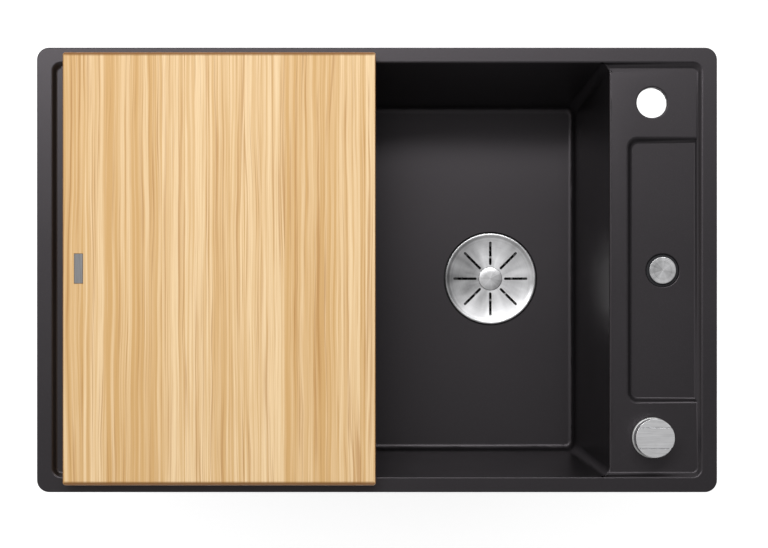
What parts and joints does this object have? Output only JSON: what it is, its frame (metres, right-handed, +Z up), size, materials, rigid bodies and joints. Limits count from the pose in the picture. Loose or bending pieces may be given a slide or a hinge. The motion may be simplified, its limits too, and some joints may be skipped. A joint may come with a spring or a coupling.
{
  "type": "kitchen sink",
  "caption": "Inset composite kitchen sink with tap ledge, sliding wood board, remotely lifted basket strainer, overflow and clamp claws.",
  "frame": {"origin": "middle of the worktop cut-out, on the worktop's top face, where the rim rests", "axes": "+X towards the tap ledge, +Y to the wall behind the sink, +Z up"},
  "size_m": [0.78, 0.51, 0.3203],
  "materials": {
    "sink_stone": "matte",
    "board_wood": "oiled",
    "brushed_steel": "brushed",
    "polished_steel": "polished",
    "black_plastic": "matte",
    "grey_plastic": "matte",
    "seal_rubber": "matte",
    "brass": "machined",
    "zinc_steel": "zinc plated"
  },
  "bodies": {
    "root": {"sink_body": "sink_stone", "rim_seal": "seal_rubber", "waste_flange": "brushed_steel", "flange_gasket": "seal_rubber", "waste_gasket": "seal_rubber", "waste_body": "black_plastic", "flange_screws": "zinc_steel", "shaft_seal": "seal_rubber", "gland_nut": "grey_plastic", "waste_ferrule": "zinc_steel", "control_ferrule": "zinc_steel", "cable_sheath": "black_plastic", "control_gasket": "seal_rubber", "control_rosette": "brushed_steel", "control_bush": "brass", "control_washer": "zinc_steel", "control_nut": "brass", "control_case": "black_plastic", "case_cover": "black_plastic", "case_screws": "zinc_steel", "overflow_sleeve": "black_plastic", "overflow_seal": "seal_rubber", "overflow_nut": "grey_plastic", "overflow_funnel": "black_plastic", "overflow_hose": "grey_plastic", "hose_clamps": "zinc_steel", "clamp_inserts": "brass", "clamp_screws": "zinc_steel"},
    "board": {"cutting_board": "board_wood", "board_plate": "brushed_steel"},
    "control": {"control_knob": "brushed_steel", "knob_screw": "zinc_steel", "control_spindle": "zinc_steel", "crank_disc": "grey_plastic"},
    "slider": {"cable_slider": "grey_plastic", "control_wire_end": "zinc_steel"},
    "wire": {"waste_wire_end": "zinc_steel"},
    "lever": {"inner_lever": "grey_plastic", "lever_shaft": "zinc_steel", "outer_arm": "zinc_steel", "arm_screw": "zinc_steel"},
    "lifter": {"lift_pin": "brass"},
    "strainer": {"strainer_disc": "polished_steel", "strainer_button": "polished_steel", "strainer_collar": "polished_steel", "strainer_basket": "brushed_steel", "strainer_stem": "grey_plastic", "valve_seal": "seal_rubber"},
    "cap": {"overflow_cap": "polished_steel"},
    "claw_left_front": {"claw_left_front": "zinc_steel"},
    "claw_left_back": {"claw_left_back": "zinc_steel"},
    "claw_right_front": {"claw_right_front": "zinc_steel"},
    "claw_right_back": {"claw_right_back": "zinc_steel"},
    "claw_front_outer": {"claw_front_outer": "zinc_steel"},
    "claw_front_inner": {"claw_front_inner": "zinc_steel"},
    "claw_back_outer": {"claw_back_outer": "zinc_steel"},
    "claw_back_inner": {"claw_back_inner": "zinc_steel"}
  },
  "joints": [
    {"name": "board_slide", "type": "slide", "parent": "root", "child": "board", "axis": [1, 0, 0], "range_m": [-0.012, 0.28]},
    {"name": "knob_turn", "type": "hinge", "parent": "root", "child": "control", "pos_m": [0.316, -0.1925, 0], "axis": [0, 0, -1], "range_deg": [0, 90]},
    {"name": "slider_travel", "type": "slide", "parent": "root", "child": "slider", "axis": [0, -1, 0], "range_m": [0, 0.0146]},
    {"name": "wire_travel", "type": "slide", "parent": "root", "child": "wire", "axis": [1, 0, 0], "range_m": [0, 0.0146]},
    {"name": "lever_swing", "type": "hinge", "parent": "root", "child": "lever", "pos_m": [0.1167, 0, -0.2438], "axis": [0, -1, 0], "range_deg": [0, 24.01]},
    {"name": "pin_lift", "type": "slide", "parent": "root", "child": "lifter", "axis": [0, 0, 1], "range_m": [0, 0.01]},
    {"name": "strainer_lift_out", "type": "slide", "parent": "lifter", "child": "strainer", "axis": [0, 0, 1], "range_m": [0, 0.06]},
    {"name": "cap_lift", "type": "slide", "parent": "root", "child": "cap", "axis": [0, 0, 1], "range_m": [0, 0.03]},
    {"name": "claw_left_front_swivel", "type": "hinge", "parent": "root", "child": "claw_left_front", "pos_m": [-0.363, -0.11, -0.0717], "axis": [0, 0, 1], "range_deg": [0, 90]},
    {"name": "claw_left_back_swivel", "type": "hinge", "parent": "root", "child": "claw_left_back", "pos_m": [-0.363, 0.11, -0.0717], "axis": [0, 0, -1], "range_deg": [0, 90]},
    {"name": "claw_right_front_swivel", "type": "hinge", "parent": "root", "child": "claw_right_front", "pos_m": [0.363, -0.11, -0.0717], "axis": [0, 0, -1], "range_deg": [0, 90]},
    {"name": "claw_right_back_swivel", "type": "hinge", "parent": "root", "child": "claw_right_back", "pos_m": [0.363, 0.11, -0.0717], "axis": [0, 0, 1], "range_deg": [0, 90]},
    {"name": "claw_front_outer_swivel", "type": "hinge", "parent": "root", "child": "claw_front_outer", "pos_m": [-0.29, -0.228, -0.0717], "axis": [0, 0, -1], "range_deg": [0, 90]},
    {"name": "claw_front_inner_swivel", "type": "hinge", "parent": "root", "child": "claw_front_inner", "pos_m": [-0.15, -0.228, -0.0717], "axis": [0, 0, 1], "range_deg": [0, 90]},
    {"name": "claw_back_outer_swivel", "type": "hinge", "parent": "root", "child": "claw_back_outer", "pos_m": [-0.29, 0.228, -0.0717], "axis": [0, 0, 1], "range_deg": [0, 90]},
    {"name": "claw_back_inner_swivel", "type": "hinge", "parent": "root", "child": "claw_back_inner", "pos_m": [-0.15, 0.228, -0.0717], "axis": [0, 0, -1], "range_deg": [0, 90]}
  ],
  "couplings": [
    {"joint": "slider_travel", "follows": "knob_turn", "m_per_rad": 0.0092652},
    {"joint": "wire_travel", "follows": "knob_turn", "m_per_rad": 0.0092652},
    {"joint": "lever_swing", "follows": "knob_turn", "ratio": 0.26667},
    {"joint": "pin_lift", "follows": "knob_turn", "m_per_rad": 0.0063533}
  ]
}
